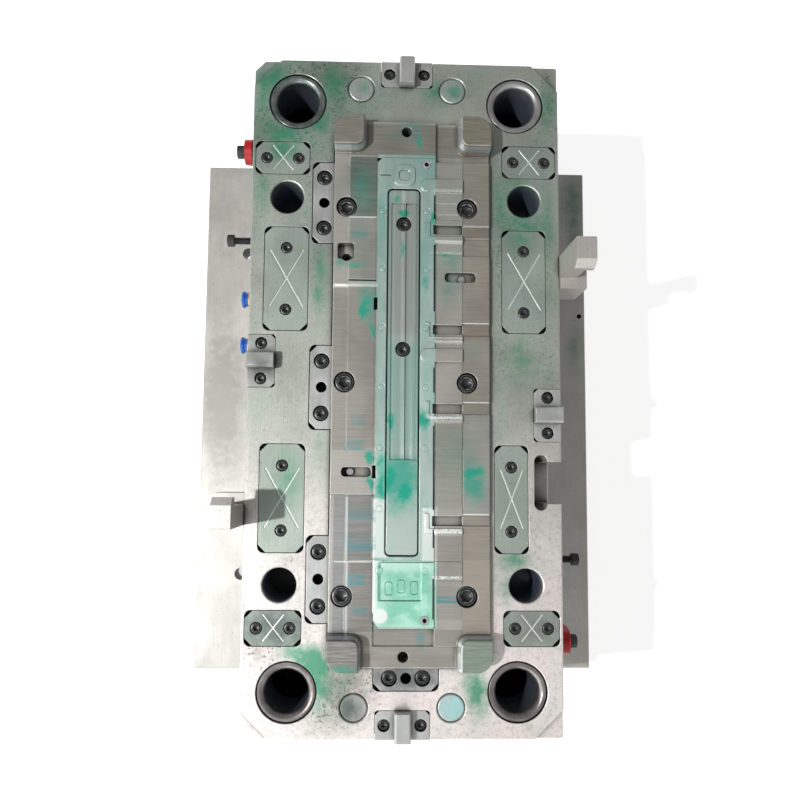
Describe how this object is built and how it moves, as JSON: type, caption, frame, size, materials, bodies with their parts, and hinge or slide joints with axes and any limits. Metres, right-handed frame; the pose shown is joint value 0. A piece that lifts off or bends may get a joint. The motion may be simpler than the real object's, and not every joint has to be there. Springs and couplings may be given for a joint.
{
  "type": "injection mould half",
  "caption": "Moving half of a plastic injection mould: core plate with insert, locks and guide bushes on an ejector box and clamp plate.",
  "frame": {"origin": "bottom centre of the clamp plate", "axes": "+Y along the mould towards the end that is at the top of the picture, +Z in the opening direction, parting face up"},
  "size_m": [0.5, 0.65, 0.396],
  "materials": {
    "base_steel": "ground mild steel, slightly oiled",
    "core_plate_steel": "ground mould-base steel with spotting-blue smears",
    "core_steel": "milled mould steel with cutter marks",
    "ground_steel": "ground hardened steel",
    "wedge_steel": "ground steel",
    "wear_steel": "ground hardened steel with oil grooves",
    "lock_steel": "ground hardened steel",
    "hook_steel": "milled hardened steel",
    "black_oxide": "black-oxide screw",
    "zinc": "zinc-plated washer",
    "brass": "turned brass",
    "bronze": "bronze bush",
    "blue_plastic": "blue release collar",
    "spring_paint": "blue painted die spring",
    "red_paint": "red painted strap"
  },
  "bodies": {
    "mould": {"clamp_plate": "base_steel", "spacer_block_left": "base_steel", "spacer_block_right": "base_steel", "support_plate": "base_steel", "core_plate": "core_plate_steel", "guide_bushes": "ground_steel", "core_insert": "core_steel", "centre_core": "core_steel", "core_pins": "ground_steel", "core_insert_screws": "black_oxide", "centre_core_screws": "black_oxide", "side_wedge_upper": "wedge_steel", "side_wedge_middle": "wedge_steel", "side_wedge_lower": "wedge_steel", "end_wedge": "wedge_steel", "wedge_screws": "black_oxide", "small_wear_plate_back_left": "wear_steel", "small_wear_plate_back_right": "wear_steel", "small_wear_plate_front_left": "wear_steel", "small_wear_plate_front_right": "wear_steel", "large_wear_plate_back_left": "wear_steel", "large_wear_plate_back_right": "wear_steel", "large_wear_plate_front_left": "wear_steel", "narrow_wear_plate_front_right": "wear_steel", "wear_plate_screws": "black_oxide", "side_lock_back": "lock_steel", "side_lock_front": "lock_steel", "side_lock_left": "lock_steel", "side_lock_right": "lock_steel", "side_lock_screws": "black_oxide", "hook_left": "hook_steel", "hook_right": "hook_steel", "hook_screws": "black_oxide", "strap_screws": "black_oxide", "strap_washers": "zinc", "side_screws": "black_oxide", "water_fittings": "brass", "water_fitting_collars": "blue_plastic", "plate_cap_screws": "black_oxide", "support_pillars": "ground_steel", "pillar_screws": "black_oxide", "stop_buttons": "ground_steel", "button_screws": "black_oxide", "ejector_guide_pins": "ground_steel", "return_springs": "spring_paint"},
    "ejector": {"ejector_guide_bushes": "bronze", "ejector_base_plate": "base_steel", "ejector_retainer_plate": "base_steel", "ejector_plate_screws": "black_oxide", "return_pins": "ground_steel", "ejector_pins": "ground_steel", "runner_puller_pins": "ground_steel", "stroke_limiters": "ground_steel", "limiter_screws": "black_oxide"},
    "strap_left": {"safety_strap_left": "red_paint"},
    "strap_right": {"safety_strap_right": "red_paint"}
  },
  "joints": [
    {"name": "ejector_slide", "type": "slide", "parent": "mould", "child": "ejector", "axis": [0, 0, 1], "range_m": [0, 0.045], "stiffness_N_per_m": 8000, "springref_m": -0.03, "deforming": ["return_springs"]},
    {"name": "strap_left_hinge", "type": "hinge", "parent": "mould", "child": "strap_left", "pos_m": [-0.15775, 0.2415, 0.295], "axis": [1, 0, 0], "range_deg": [-180, 180]},
    {"name": "strap_right_hinge", "type": "hinge", "parent": "mould", "child": "strap_right", "pos_m": [0.15775, -0.2415, 0.295], "axis": [1, 0, 0], "range_deg": [-180, 180]}
  ]
}
